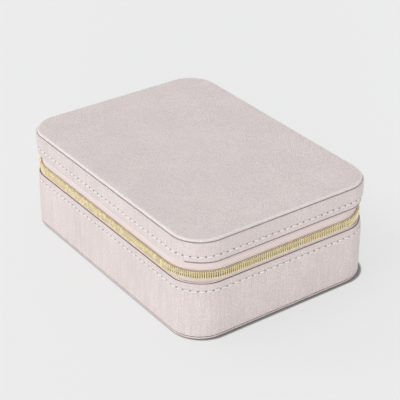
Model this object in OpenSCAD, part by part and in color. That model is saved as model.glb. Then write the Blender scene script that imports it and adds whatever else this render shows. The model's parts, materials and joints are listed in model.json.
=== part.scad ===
// Zip-around jewellery case. A shallow lid is hinged to a deeper base by a strip along the back.
// Both halves are board walls in a leathercloth cover, lined with velvet. A coil zip joins them
// round the front, the sides and the ends of the back.
// Frame: origin at the centre of the underside, +X to the right, +Y towards the hinge, +Z up.
// An inset is a distance inwards from the outer face of the covers, and is negative outside it.

/* [Case] */
// Width over the covers
case_w = 200; // [190:1:220]
// Depth over the covers
case_d = 147; // [144:1:165]
// Height of the closed case
case_h = 72; // [71:0.5:80]
// Outer radius of the upright corners
corner_r = 22; // [16:1:26]

/* [Walls] */
// Thickness of the leathercloth cover
cover_t = 1.1; // [1:0.1:1.4]
// Thickness of the wall board
board_t = 2.3; // [2:0.1:2.6]
// Thickness of the velvet lining
lining_t = 0.8; // [0.6:0.1:1]
// Height of the base wall's upper edge
base_edge_z = 40.6; // [39:0.1:41]
// Height of the lid wall's lower edge
lid_edge_z = 55.4; // [54:0.1:56]

/* [Panels] */
// Thickness of the bottom panel below the wall
bottom_t = 2.2; // [2:0.1:3]
// Thickness of the top panel above the wall
top_t = 2; // [1.8:0.1:2.4]
// How far the top panel's outline lies inside the wall's
top_inset = 1; // [0.5:0.1:1.4]
// Thickness of the padded floor of the base
floor_t = 3.5; // [3:0.1:4]
// Thickness of the padded lining under the lid's top
lid_pad_t = 2.5; // [2:0.1:3]

/* [Zip] */
// Height of the zip's centre line, where lid and base part
zip_z = 46.4; // [46:0.1:47]
// Width of the closed chain
chain_w = 6; // [5:0.1:6.4]
// Thickness of the coil in front of its tape
coil_t = 2; // [1.8:0.1:2.2]
// Thickness of the zip tape and of the hinge strip
tape_t = 0.8; // [0.6:0.1:0.9]
// How far the tape runs behind a cover's edge
tape_tuck = 12.5; // [11:0.5:13]
// Length of the hinge strip along the back
hinge_w = 112; // [90:1:130]

/* [Slider and pull] */
// Length of the slider along the chain
slider_l = 13; // [11:0.5:14]
// Width of the slider across the chain
slider_w = 8.4; // [8:0.1:9]
// Length of the pull from its pivot to its end
pull_l = 24; // [18:1:28]
// Width of the pull
pull_w = 7; // [6:0.5:8]

/* [Inside] */
// Height of the dividers above the floor
divider_h = 28; // [24:1:30]
// Thickness of a divider
divider_t = 3; // [2.5:0.1:3.5]
// Number of ring rolls
rolls = 5; // [5:1:5]
// Width of a ring roll
roll_w = 13.6; // [12:0.1:13.8]
// Height of a ring roll above the floor
roll_h = 21; // [18:0.5:24]
// Number of necklace hooks
hooks = 6; // [4:1:7]

/* [Stitching] */
// Length of thread that shows in one stitch
stitch_l = 3.6; // [3:0.1:4]
// Distance from one stitch to the next
stitch_pitch = 4.8; // [4.6:0.1:5.4]
// Distance of the stitching from the edge of its wall
stitch_edge = 5; // [4:0.1:6]

/* [Hidden] */
$fn = 64;

leathercloth = [0.86, 0.80, 0.79];
tape_pink = [0.88, 0.77, 0.76];
gold = [0.90, 0.74, 0.36];
velvet = [0.80, 0.72, 0.72];
board_grey = [0.62, 0.60, 0.57];
thread_white = [0.94, 0.90, 0.88];

eps = 0.01;              // overrun of a cutter past the face that it opens
skin_t = 0.8;            // leathercloth where it wraps a panel's board
wall_t = cover_t + board_t + lining_t;
tape_in = cover_t;       // inset of the tape's outer face
parting = 0.3;           // half the gap between what belongs to the lid and to the base
lid_top_z = case_h - top_t;
floor_z = bottom_t + floor_t;
ceiling_z = lid_top_z - lid_pad_t;
room_w = case_w - 2 * wall_t;
room_d = case_d - 2 * wall_t;

// Plain helpers --------------------------------------------------------------------------------

// The case's outline, a given inset inside the covers' outer face.
module outline(inset = 0) {
    r = corner_r - inset;
    w = case_w - 2 * inset;
    d = case_d - 2 * inset;
    union() {
        square([w - 2 * r, d], center = true);
        square([w, d - 2 * r], center = true);
        for (x = [-1, 1], y = [-1, 1])
            translate([x * (w / 2 - r), y * (d / 2 - r)]) circle(r);
    }
}

// A plate with the case's outline, between two heights.
module plate(inset, z0, z1) {
    translate([0, 0, z0]) linear_extrude(z1 - z0) outline(inset);
}

// A wall that runs all round the case, between two insets and two heights.
module ring(outer, inner, z0, z1) {
    translate([0, 0, z0]) linear_extrude(z1 - z0) difference() {
        outline(outer);
        outline(inner);
    }
}

// A box given by its lowest and its highest corner.
module block(low, high) {
    translate(low) cube(high - low);
}

// The stretch of the back that the hinge strip takes, at full height.
module hinge_zone(extra = 0) {
    half = hinge_w / 2 + extra;
    block([-half, case_d / 2 - corner_r, 0], [half, case_d / 2 + corner_r, case_h]);
}

// Walls and panels -----------------------------------------------------------------------------

// A panel's skin: a tray of leathercloth that is open where it is glued to the wall.
module panel_skin(inset, z0, z1, face_up) {
    rim_low = face_up ? z0 - eps : z0 + skin_t;
    rim_high = face_up ? z1 - skin_t : z1 + eps;
    color(leathercloth) difference() {
        plate(inset, z0, z1);
        plate(inset + skin_t, rim_low, rim_high);
    }
}

// A wall's board, rebated on its outer face from the tape's far edge to the wall's own edge.
module wall_board(z0, z1, rebate_z0, rebate_z1) {
    color(board_grey) difference() {
        ring(cover_t, cover_t + board_t, z0, z1);
        ring(cover_t - eps, cover_t + tape_t, rebate_z0, rebate_z1);
    }
}

module bottom_panel_cover() {
    panel_skin(0.3, 0, bottom_t, false);
}

module bottom_panel_board() {
    color(board_grey) plate(0.3 + skin_t, skin_t, bottom_t);
}

module base_wall_cover() {
    color(leathercloth) ring(0, cover_t, bottom_t, base_edge_z);
}

module base_wall_board() {
    wall_board(bottom_t, base_edge_z, base_edge_z - tape_tuck, base_edge_z + eps);
}

module base_wall_lining() {
    color(velvet) ring(cover_t + board_t, wall_t, floor_z, base_edge_z);
}

module base_floor_pad() {
    color(velvet) plate(cover_t + board_t, bottom_t, floor_z);
}

module top_panel_cover() {
    panel_skin(top_inset, lid_top_z, case_h, true);
}

module top_panel_board() {
    color(board_grey) plate(top_inset + skin_t, lid_top_z, case_h - skin_t);
}

module lid_wall_cover() {
    color(leathercloth) ring(0, cover_t, lid_edge_z, lid_top_z);
}

module lid_wall_board() {
    wall_board(lid_edge_z, lid_top_z, lid_edge_z - eps, lid_edge_z + tape_tuck);
}

module lid_wall_lining() {
    color(velvet) ring(cover_t + board_t, wall_t, lid_edge_z, ceiling_z);
}

module lid_lining_pad() {
    color(velvet) plate(cover_t + board_t, ceiling_z, lid_top_z);
}

// Zip ------------------------------------------------------------------------------------------

stop_l = 2.4;            // length of a stop along the chain
strip_gap = 0.5;         // between the hinge strip's end and the tape's

module zip_tape(z0, z1) {
    color(tape_pink) difference() {
        ring(tape_in, tape_in + tape_t, z0, z1);
        hinge_zone();
    }
}

module zip_coil(z0, z1) {
    color(gold) difference() {
        ring(tape_in - coil_t, tape_in, z0, z1);
        hinge_zone(strip_gap + stop_l);
    }
}

// A metal clip on each end of a coil.
module zip_stops(z0, z1) {
    outer_y = case_d / 2 - tape_in + coil_t;
    color(gold) for (side = [-1, 1])
        translate([side * (hinge_w + 2 * strip_gap + stop_l) / 2, outer_y - coil_t / 2, (z0 + z1) / 2])
            cube([stop_l, coil_t, z1 - z0], center = true);
}

// Half of the hinge strip. It lies in the tape's layer and flexes along the parting line.
module hinge_strip(z0, z1) {
    color(leathercloth) intersection() {
        ring(tape_in, tape_in + tape_t, z0, z1);
        hinge_zone(-strip_gap);
    }
}

module base_zip_tape() { zip_tape(base_edge_z - tape_tuck, zip_z - parting); }
module base_zip_coil() { zip_coil(zip_z - chain_w / 2, zip_z - parting); }
module base_zip_stops() { zip_stops(zip_z - chain_w / 2, zip_z - parting); }
module base_hinge_strip() { hinge_strip(base_edge_z - tape_tuck, zip_z - parting); }
module lid_zip_tape() { zip_tape(zip_z + parting, lid_edge_z + tape_tuck); }
module lid_zip_coil() { zip_coil(zip_z + parting, zip_z + chain_w / 2); }
module lid_zip_stops() { zip_stops(zip_z + parting, zip_z + chain_w / 2); }
module lid_hinge_strip() { hinge_strip(zip_z + parting, lid_edge_z + tape_tuck); }

// Stitching ------------------------------------------------------------------------------------

stitch_w = 0.7;          // width of the thread
stitch_t = 0.45;         // how far the thread stands out

// One stitch, lying along X with its back on the XZ plane.
module stitch() {
    translate([-stitch_l / 2, -stitch_t, -stitch_w / 2]) cube([stitch_l, stitch_t, stitch_w]);
}

// A row of stitches all round the case. Each side and each corner holds a whole number of them.
module stitch_row(z) {
    per_corner = round(corner_r * PI / 2 / stitch_pitch);
    color(thread_white) translate([0, 0, z]) for (turn = [0:3]) rotate(90 * turn) {
        run = (turn % 2 == 0 ? case_w : case_d) - 2 * corner_r;
        reach = (turn % 2 == 0 ? case_d : case_w) / 2;
        per_side = round(run / stitch_pitch);
        for (i = [0:per_side - 1])
            translate([((i + 0.5) / per_side - 0.5) * run, -reach, 0]) stitch();
        translate([run / 2, corner_r - reach, 0]) for (i = [0:per_corner - 1])
            rotate((i + 0.5) * 90 / per_corner) translate([0, -corner_r, 0]) stitch();
    }
}

module base_stitching() { stitch_row(base_edge_z - stitch_edge); }
module lid_stitching() { stitch_row(lid_edge_z + stitch_edge); }

// Slider and pull ------------------------------------------------------------------------------

play = 0.2;              // between the slider's plates and what they straddle
plate_t = 1.2;           // thickness of a slider plate
web_t = 0.4;             // the web that joins the plates through the parting gap
lip_h = 0.6;             // height of the lips that keep the slider on the base's coil
bar_r = 0.6;             // radius of the bridge's bar
bar_out = 4.6;           // distance of the bar outside the covers
eye_r = 1;               // radius of the pull's eye, round the bar
pull_t = 1.3;            // thickness of the pull
slider_margin = 1;       // between the parked slider and the rear corner
slider_y = case_d / 2 - corner_r - slider_margin - slider_l / 2;
bridge_l = 8;            // length of the bridge along the chain
post_l = 1.4;            // length of one of its two posts

// Puts its children on the left side at the slider, with +X as an inset and Z from the zip's centre.
module at_slider() {
    translate([-case_w / 2, slider_y, zip_z]) children();
}

module zip_slider() {
    front = tape_in - coil_t - play;
    back = tape_in + tape_t + play;
    color(gold) at_slider() {
        block([front - plate_t, -slider_l / 2, -slider_w / 2], [front, slider_l / 2, slider_w / 2]);
        block([back, -slider_l / 2, -slider_w / 2], [back + plate_t, slider_l / 2, slider_w / 2]);
        block([front - eps, slider_l / 4, -web_t / 2], [back + eps, slider_l / 2, web_t / 2]);
        block([front - eps, -slider_l / 2, -slider_w / 2], [tape_in - play, slider_l / 2, -slider_w / 2 + lip_h]);
        for (side = [-1, 1]) {
            post_y = side * (bridge_l - post_l) / 2;
            block([-bar_out, post_y - post_l / 2, -bar_r], [front - plate_t + eps, post_y + post_l / 2, bar_r]);
        }
        translate([-bar_out, 0, 0]) rotate([90, 0, 0]) cylinder(h = bridge_l, r = bar_r, center = true);
    }
}

// The pull hangs from the bridge's bar: a round eye and a flat tab that ends in a half circle.
module zip_pull() {
    eye_w = bridge_l - 2 * post_l - 2 * play;
    neck_l = 6;
    color(gold) at_slider() translate([-bar_out, 0, 0]) difference() {
        union() {
            rotate([90, 0, 0]) cylinder(h = eye_w, r = eye_r + 0.8, center = true);
            block([-pull_t / 2, -eye_w / 2, -neck_l - eps], [pull_t / 2, eye_w / 2, -eye_r]);
            block([-pull_t / 2, -pull_w / 2, pull_w / 2 - pull_l], [pull_t / 2, pull_w / 2, -neck_l]);
            translate([-pull_t / 2, 0, pull_w / 2 - pull_l]) rotate([0, 90, 0]) cylinder(h = pull_t, r = pull_w / 2);
        }
        rotate([90, 0, 0]) cylinder(h = eye_w + 1, r = eye_r, center = true);
    }
}

// Inside of the base ---------------------------------------------------------------------------

fit_gap = 0.3;           // between an insert and what stands beside it
side_x = 24;             // the right-hand compartments begin here
rear_y = 7;              // the rear compartments begin here
rear_split_x = -38;      // the divider between the two rear compartments

module divider(x0, x1, y0, y1) {
    color(velvet) block([x0, y0, floor_z], [x1, y1, floor_z + divider_h]);
}

module cross_divider() {
    divider(side_x - divider_t, side_x, -room_d / 2 + fit_gap, room_d / 2 - fit_gap);
}

module long_divider() {
    divider(-room_w / 2 + fit_gap, side_x - divider_t - fit_gap, rear_y - divider_t, rear_y);
}

module rear_divider() {
    divider(rear_split_x - divider_t / 2, rear_split_x + divider_t / 2, rear_y + fit_gap, room_d / 2 - fit_gap);
}

module side_divider() {
    divider(side_x + fit_gap, room_w / 2 - fit_gap, -divider_t / 2, divider_t / 2);
}

// A ring roll: a foam bar with a round top, wrapped in velvet. Roll 1 stands next to the front wall,
// and its left end follows the round corner of the room.
module ring_roll(number) {
    space = rear_y - divider_t + room_d / 2;
    y = -room_d / 2 + (number - 0.5) * space / rolls;
    x0 = -room_w / 2 + 1.6;
    x1 = side_x - divider_t - 1.2;
    color(velvet) intersection() {
        plate(wall_t + fit_gap, floor_z, floor_z + roll_h);
        translate([0, y, floor_z]) {
            block([x0, -roll_w / 2, 0], [x1, roll_w / 2, roll_h - roll_w / 2]);
            translate([x0, 0, roll_h - roll_w / 2]) rotate([0, 90, 0]) cylinder(h = x1 - x0, r = roll_w / 2);
        }
    }
}

// Inside of the lid ----------------------------------------------------------------------------

strip_t = 1.5;           // the necklace strip hangs this far under the lid's lining
strip_w = 150;
strip_d = 16;
strip_y = -46;
strip_z = ceiling_z - strip_t;
hook_r = 0.8;            // radius of a hook's wire
hook_drop = 5;           // how far a hook stands off the strip
hook_reach = 4.5;        // length of a hook's arm, towards the front
pocket_w = 160;
pocket_y0 = 8;
pocket_y1 = 64;
pocket_h = 7;            // depth of the pocket under the lining
pocket_t = 0.9;          // thickness of the pocket's cloth
elastic_d = 5;

module necklace_strip() {
    color(leathercloth)
        block([-strip_w / 2, strip_y - strip_d / 2, strip_z], [strip_w / 2, strip_y + strip_d / 2, ceiling_z]);
}

// One hook: a rivet head on the strip, a stem, and an arm that points to the lid's front edge.
module hook() {
    head_t = 0.6;
    translate([0, 0, -head_t]) cylinder(h = head_t, r = 2.6);
    translate([0, 0, -hook_drop]) cylinder(h = hook_drop - head_t + eps, r = hook_r);
    translate([0, 0, -hook_drop]) rotate([90, 0, 0]) cylinder(h = hook_reach, r = hook_r);
    translate([0, 0, -hook_drop]) sphere(hook_r);
    translate([0, -hook_reach, -hook_drop]) sphere(hook_r);
}

module necklace_hooks() {
    pitch = strip_w / hooks;
    color(gold) for (i = [0:hooks - 1]) translate([(i + 0.5 - hooks / 2) * pitch, strip_y, strip_z]) hook();
}

// The pocket hangs under the lid's lining and its mouth faces the front.
module lid_pocket() {
    color(velvet) difference() {
        block([-pocket_w / 2, pocket_y0, ceiling_z - pocket_h], [pocket_w / 2, pocket_y1, ceiling_z]);
        block([-pocket_w / 2 + pocket_t, pocket_y0 - 1, ceiling_z - pocket_h + pocket_t],
              [pocket_w / 2 - pocket_t, pocket_y1 - pocket_t, ceiling_z + 1]);
    }
}

module pocket_elastic() {
    z0 = ceiling_z - pocket_h + pocket_t;
    half = pocket_w / 2 - pocket_t;
    color(velvet) block([-half, pocket_y0, z0], [half, pocket_y0 + elastic_d, z0 + 0.7]);
}

// Nodes ----------------------------------------------------------------------------------------

bottom_panel_cover();
bottom_panel_board();
base_wall_cover();
base_wall_board();
base_wall_lining();
base_floor_pad();
base_zip_tape();
base_zip_coil();
base_zip_stops();
base_hinge_strip();
base_stitching();
long_divider();
cross_divider();
rear_divider();
side_divider();
for (number = [1:rolls]) ring_roll(number);
top_panel_cover();
top_panel_board();
lid_wall_cover();
lid_wall_board();
lid_wall_lining();
lid_lining_pad();
lid_zip_tape();
lid_zip_coil();
lid_zip_stops();
lid_hinge_strip();
lid_stitching();
necklace_strip();
necklace_hooks();
lid_pocket();
pocket_elastic();
zip_slider();
zip_pull();
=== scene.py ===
"""Zip-around jewellery case: the looks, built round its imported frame.

Every size is in metres. An inset is a distance inwards from the outer face of the wall covers, and a
height is measured from the underside of the case. A walk goes round the case from the middle of the
back, past the left side, the front and the right side, and returns to the back.
"""

import functools
import json
import math

import bmesh
import bpy
import numpy as np
from bpy.props import FloatProperty, FloatVectorProperty, IntProperty, PointerProperty
from bpy.types import Operator, Panel, PropertyGroup
from mathutils import Matrix, Vector


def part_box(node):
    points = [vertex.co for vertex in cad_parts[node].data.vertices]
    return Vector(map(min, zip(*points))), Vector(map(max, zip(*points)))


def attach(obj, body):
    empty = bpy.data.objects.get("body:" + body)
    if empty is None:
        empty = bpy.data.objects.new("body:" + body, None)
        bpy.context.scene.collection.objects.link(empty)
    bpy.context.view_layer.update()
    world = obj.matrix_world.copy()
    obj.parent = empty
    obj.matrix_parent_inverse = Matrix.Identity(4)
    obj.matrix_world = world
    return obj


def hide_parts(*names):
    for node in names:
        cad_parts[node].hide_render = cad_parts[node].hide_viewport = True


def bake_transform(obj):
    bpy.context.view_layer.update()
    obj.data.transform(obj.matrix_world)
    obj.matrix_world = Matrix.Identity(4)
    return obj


bl_info = {
    "name": "Zip-around jewellery case",
    "version": (1, 0, 0),
    "blender": (4, 5, 0),
    "location": "3D View > Sidebar > Jewellery Case",
    "description": "Leathercloth, zip, stitching, velvet and fittings of a zip-around jewellery case",
    "category": "Add Mesh",
}

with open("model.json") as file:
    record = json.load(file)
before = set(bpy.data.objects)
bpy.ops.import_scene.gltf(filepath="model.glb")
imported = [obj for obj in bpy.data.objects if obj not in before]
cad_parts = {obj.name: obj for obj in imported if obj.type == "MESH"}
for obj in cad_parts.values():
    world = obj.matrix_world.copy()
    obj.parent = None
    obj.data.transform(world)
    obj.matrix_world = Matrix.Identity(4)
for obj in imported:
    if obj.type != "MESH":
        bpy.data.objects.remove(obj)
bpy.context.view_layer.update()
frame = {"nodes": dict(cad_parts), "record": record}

MM = 0.001
TURN = 2 * math.pi


# The frame's own sizes ------------------------------------------------------------------------------

def low_high(node):
    """Lowest and highest corner of a CAD node as two arrays."""
    low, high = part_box(node)
    return np.array(low), np.array(high)


BASE_LOW, BASE_HIGH = low_high("base_wall_cover")
LID_LOW, LID_HIGH = low_high("lid_wall_cover")
TOP_LOW, TOP_HIGH = low_high("top_panel_cover")
BOTTOM_LOW, BOTTOM_HIGH = low_high("bottom_panel_cover")
BASE_TAPE_LOW, BASE_TAPE_HIGH = low_high("base_zip_tape")
LID_TAPE_LOW, LID_TAPE_HIGH = low_high("lid_zip_tape")
BASE_COIL_LOW, BASE_COIL_HIGH = low_high("base_zip_coil")
LID_COIL_LOW, LID_COIL_HIGH = low_high("lid_zip_coil")
LINING_LOW, LINING_HIGH = low_high("base_wall_lining")
LID_LINING_LOW, LID_LINING_HIGH = low_high("lid_wall_lining")
FLOOR_LOW, FLOOR_HIGH = low_high("base_floor_pad")
LID_PAD_LOW, LID_PAD_HIGH = low_high("lid_lining_pad")
STRIP_LOW, STRIP_HIGH = low_high("base_hinge_strip")
LID_STRIP_HIGH = low_high("lid_hinge_strip")[1]
STOPS_HIGH = low_high("base_zip_stops")[1]

HALF_W, HALF_D = BASE_HIGH[:2]
TAPE_INSET = HALF_W - BASE_TAPE_HIGH[0]
TAPE_T = STRIP_HIGH[1] - STRIP_LOW[1]
COIL_T = BASE_COIL_HIGH[0] - BASE_TAPE_HIGH[0]
LINING_INSET = HALF_W - LINING_HIGH[0]
ZIP_Z = (BASE_COIL_HIGH[2] + LID_COIL_LOW[2]) / 2
DIVIDERS = ("long_divider", "cross_divider", "rear_divider", "side_divider")
PILE = 0.8 * MM


# Properties -----------------------------------------------------------------------------------------

def length(name, description, default, low, high):
    """A length property in metres."""
    return FloatProperty(name=name, description=description, default=default, min=low, max=high,
                         precision=5, unit="LENGTH")


def colour(name, description, default):
    """A colour property in linear light."""
    return FloatVectorProperty(name=name, description=description, default=default, size=3, min=0, max=1,
                               subtype="COLOR")


class CaseSizes(PropertyGroup):
    """Sizes of the covers and panels."""

    corner_r: length("Corner radius", "Outer radius of the upright corners", 22 * MM, 0.016, 0.026)
    cover_t: length("Cover", "Thickness of the leathercloth on the walls", 1.1 * MM, 0.0005, 0.0015)
    skin_t: length("Skin", "Thickness of the leathercloth on the panels", 0.8 * MM, 0.0005, 0.0015)
    edge_r: length("Panel edge", "Radius of a panel's wrapped edge", 1.3 * MM, 0.0005, 0.002)
    groove: length("Stitch groove", "How deep the stitching pulls the cover in", 0.34 * MM, 0, 0.001)
    zip_round: length("Zip at corners", "How much larger the zip's corner radius is than the case's",
                      6 * MM, 0, 0.009)
    edge_tuck: length("Edges at corners", "How far the covers' free edges draw in there",
                      0.8 * MM, 0, 0.001)


class StitchSizes(PropertyGroup):
    """Sizes of the stitching on the walls."""

    pitch: length("Pitch", "Distance from one stitch to the next", 4.8 * MM, 0.003, 0.007)
    thread_r: length("Thread", "Radius of the thread", 0.44 * MM, 0.0002, 0.0006)
    show: length("Length", "Length of thread that shows in one stitch", 3.2 * MM, 0.002, 0.005)
    slant: FloatProperty(name="Slant", description="Turn of each stitch out of its row", default=0.07,
                         min=0, max=0.3, subtype="ANGLE")


class ZipSizes(PropertyGroup):
    """Sizes of the coil zip."""

    pitch: length("Pitch", "Distance from one turn of a coil to the next", 1.5 * MM, 0.001, 0.003)
    wire_r: length("Wire", "Radius of the coil's wire", 0.40 * MM, 0.0002, 0.0006)
    mesh: length("Mesh", "How far the two coils reach into each other", 0.75 * MM, 0, 0.002)
    sides: IntProperty(name="Wire sides", description="Faces round the coil's wire",
                       default=6, min=4, max=12)


class CaseColours(PropertyGroup):
    """Colours of the finishes."""

    leather: colour("Leathercloth", "Pale pink leathercloth", (0.91, 0.80, 0.78))
    velvet: colour("Velvet", "Velvet of the linings and inserts", (0.66, 0.54, 0.54))
    tape: colour("Zip tape", "Woven tape of the zip", (0.92, 0.80, 0.78))
    gold: colour("Gold", "Gold of the coil", (1.0, 0.84, 0.52))
    brass: colour("Brass", "Slider, pull, stops and hooks", (0.85, 0.63, 0.27))
    thread: colour("Thread", "Thread of the stitching", (1.0, 0.97, 0.95))
    board: colour("Board", "Grey board of the walls and panels", (0.34, 0.32, 0.29))


class StageSettings(PropertyGroup):
    """Camera and light."""

    azimuth: FloatProperty(name="Azimuth", description="Turn of the camera round the case",
                           default=math.radians(54.41), subtype="ANGLE")
    elevation: FloatProperty(name="Elevation", description="Height of the camera as an angle",
                             default=math.radians(30.11), subtype="ANGLE")
    distance: length("Distance", "From the camera to the case", 0.927, 0.5, 3.0)
    aside: length("Aside", "How far the camera stands to the right of the case's middle", 0.0036, -0.1, 0.1)
    above: length("Above", "How far the camera stands above the case's underside", 0.0287, -0.1, 0.1)
    lens: FloatProperty(name="Lens", description="Focal length in millimetres",
                        default=120.45, min=20, max=300)
    floor: colour("Floor", "Colour of the floor and of the light from all sides", (0.905, 0.905, 0.905))


def sizes():
    """The sizes of the covers and panels."""
    return bpy.context.scene.case_sizes


def colours():
    """The colours of the finishes."""
    return bpy.context.scene.case_colours


# Walking round the case -----------------------------------------------------------------------------

def rim_knots():
    """Distances walked at the ends of the sides and corners, from the middle of the back.

    A side is as long as the case less two corner radii. A corner is a quarter circle."""
    across, deep = HALF_W - sizes().corner_r, HALF_D - sizes().corner_r
    quarter = sizes().corner_r * math.pi / 2
    steps = [0, across, quarter, 2 * deep, quarter, 2 * across, quarter, 2 * deep, quarter, across]
    return np.cumsum(steps)


def rim_length():
    """The whole way round the case."""
    return rim_knots()[-1]


def rim(distance):
    """Corner centre and outward normal after walking a distance round the case.

    A rounded rectangle is a smaller rectangle grown by a circle. Along a side the centre slides
    and the normal rests. Round a corner the centre rests and the normal turns through a right angle."""
    across, deep = HALF_W - sizes().corner_r, HALF_D - sizes().corner_r
    knots = rim_knots()
    walked = np.mod(distance, knots[-1])
    x = np.interp(walked, knots, np.array([0, -1, -1, -1, -1, 1, 1, 1, 1, 0]) * across)
    y = np.interp(walked, knots, np.array([1, 1, 1, -1, -1, -1, -1, 1, 1, 1]) * deep)
    angle = np.interp(walked, knots, np.array([1, 1, 2, 2, 3, 3, 4, 4, 5, 5]) * math.pi / 2)
    return np.stack([x, y], -1), np.stack([np.cos(angle), np.sin(angle)], -1)


def at_rim(distance, inset, height):
    """Points at an inset and a height: the corner centre plus the normal times the radius that is left."""
    distance, inset, height = np.broadcast_arrays(distance, inset, height)
    centre, normal = rim(distance)
    flat = centre + normal * (sizes().corner_r - inset)[..., None]
    return np.concatenate([flat, height[..., None]], -1)


def corner_swell(distance):
    """1 at the middle of each corner and 0 on the sides.

    It is half of one less the cosine of four times the turn."""
    knots = rim_knots()
    turned = np.interp(np.mod(distance, knots[-1]), knots, np.array([0, 0, 1, 1, 2, 2, 3, 3, 4, 4]))
    return (1 - np.cos(TURN * turned)) / 2


def stations(side_steps, corner_steps):
    """Distances round the case with a number of steps to each side and to each corner."""
    knots = rim_knots()
    half = max(1, side_steps // 2)
    steps = [half] + 3 * [corner_steps, side_steps] + [corner_steps, half]
    parts = [np.linspace(a, b, n, endpoint=False) for a, b, n in zip(knots[:-1], knots[1:], steps)]
    return np.concatenate(parts)


def stitch_places(pitch):
    """Distance of every stitch's middle. Each side and each corner holds a whole number of stitches."""
    knots = rim_knots()
    starts = np.concatenate([[knots[-2] - knots[-1]], knots[1:-2]])
    ends = np.concatenate([[knots[1]], knots[2:-1]])
    places = []
    for start, end in zip(starts, ends):
        count = round((end - start) / pitch)
        places.append(start + (np.arange(count) + 0.5) * (end - start) / count)
    return np.concatenate(places)


def smooth(low, high, value):
    """0 below low, 1 above high, and an S curve between."""
    t = np.clip((value - low) / (high - low), 0, 1)
    return t * t * (3 - 2 * t)


def bell(distance, width):
    """1 at a distance of 0, falling on both sides as a bell curve of a width."""
    return np.exp(-(distance / width) ** 2)


def flattened(wave, power):
    """A wave's size raised to a power, with its own sign. A power below one flattens its crests."""
    return np.sign(wave) * np.abs(wave) ** power


def together(x, y, z):
    """Points from x, y and z, each spread over the shape that they share."""
    return np.stack(np.broadcast_arrays(x, y, z), -1)


# Meshes ---------------------------------------------------------------------------------------------

def surface(name, points, wrap=False, ring=False, caps=False, uv=None, closed=True):
    """A mesh from grids of points, shaped (copies, along, across, 3) or (along, across, 3).

    Neighbours on the grid are joined by quads. wrap joins the last point across to the first, ring
    joins the last row along to the first, and caps close both ends of a wrapped grid with fans."""
    grids = points[None] if points.ndim == 3 else points
    copies, n, m = grids.shape[:3]
    i = np.arange(n if ring else n - 1)[:, None]
    j = np.arange(m if wrap else m - 1)[None]
    here, ahead, beside_it = i * m, (i + 1) % n * m, (j + 1) % m
    quads = np.stack([here + j, ahead + j, ahead + beside_it, here + beside_it], -1)
    quads = quads.reshape(-1, 4)
    vertices, per_copy = grids.reshape(copies, n * m, 3), n * m
    fans = np.zeros((0, 3), int)
    if caps:
        middles = np.stack([grids[:, 0].mean(1), grids[:, -1].mean(1)], 1)
        vertices = np.concatenate([vertices, middles], 1)
        a, b = np.arange(m), (np.arange(m) + 1) % m
        first = np.stack([np.full(m, n * m), b, a], -1)
        last = np.stack([np.full(m, n * m + 1), (n - 1) * m + a, (n - 1) * m + b], -1)
        fans, per_copy = np.concatenate([first, last]), n * m + 2
    shift = (np.arange(copies) * per_copy)[:, None, None]
    all_quads = (quads[None] + shift).reshape(-1, 4)
    all_fans = (fans[None] + shift).reshape(-1, 3)
    mesh = bpy.data.meshes.new(name)
    mesh.from_pydata(vertices.reshape(-1, 3), [], all_quads.tolist() + all_fans.tolist())
    if uv is not None:
        mesh.uv_layers.new(name="cloth")
        corners = np.stack([uv[0][i, j], uv[0][i + 1, j], uv[0][i + 1, j + 1], uv[0][i, j + 1]], -1)
        across = np.stack([uv[1][i, j], uv[1][i + 1, j], uv[1][i + 1, j + 1], uv[1][i, j + 1]], -1)
        flat = np.tile(np.stack([corners, across], -1).reshape(-1), copies)
        flat = np.concatenate([flat, np.zeros(2 * len(mesh.loops) - len(flat))])
        mesh.uv_layers["cloth"].data.foreach_set("uv", flat.astype(np.float32))
    return finish_mesh(name, mesh, closed)


def finish_mesh(name, mesh, closed=True):
    """Puts a mesh in the scene, smooth, and with its faces outwards if it is closed."""
    if closed:
        work = bmesh.new()
        work.from_mesh(mesh)
        bmesh.ops.recalc_face_normals(work, faces=work.faces)
        work.to_mesh(mesh)
        work.free()
    mesh.polygons.foreach_set("use_smooth", np.ones(len(mesh.polygons), bool))
    mesh.update()
    piece = bpy.data.objects.new(name, mesh)
    bpy.context.scene.collection.objects.link(piece)
    return piece


def solid(name, points, uv=None):
    """A closed piece from a wrapped grid with a fan over each end."""
    return surface(name, points, wrap=True, caps=True, uv=uv)


def uv_grid(along, across):
    """UV coordinates in metres for a grid: one array for along and one for across."""
    return np.meshgrid(along, across, indexing="ij")


def around(path, axis, radius, sides):
    """Circles round a path, shaped (..., along, sides, 3).

    The first radius of each circle is the axis less its part along the path, and the second is at
    right angles to both. axis must never run along the path."""
    step = np.gradient(path, axis=-2)
    step /= np.linalg.norm(step, axis=-1, keepdims=True)
    first = axis - step * (axis * step).sum(-1, keepdims=True)
    first /= np.linalg.norm(first, axis=-1, keepdims=True)
    second = np.cross(step, first)
    angle = np.arange(sides) * TURN / sides
    radius = np.broadcast_to(radius, path.shape[:-1])[..., None, None]
    ring = np.cos(angle)[:, None] * first[..., None, :] + np.sin(angle)[:, None] * second[..., None, :]
    return path[..., None, :] + radius * ring


def tube(name, path, axis, radius, sides, uv=None):
    """A closed round tube along each path. axis is as for around."""
    return solid(name, around(path, np.array(axis, float), radius, sides), uv)


def arc(centre, radius, start, end, steps):
    """Points on an arc in a section, from one angle to another, both in quarter turns."""
    angle = np.linspace(start, end, steps) * math.pi / 2
    return np.stack([centre[0] + radius * np.cos(angle), centre[1] + radius * np.sin(angle)], -1)


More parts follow.
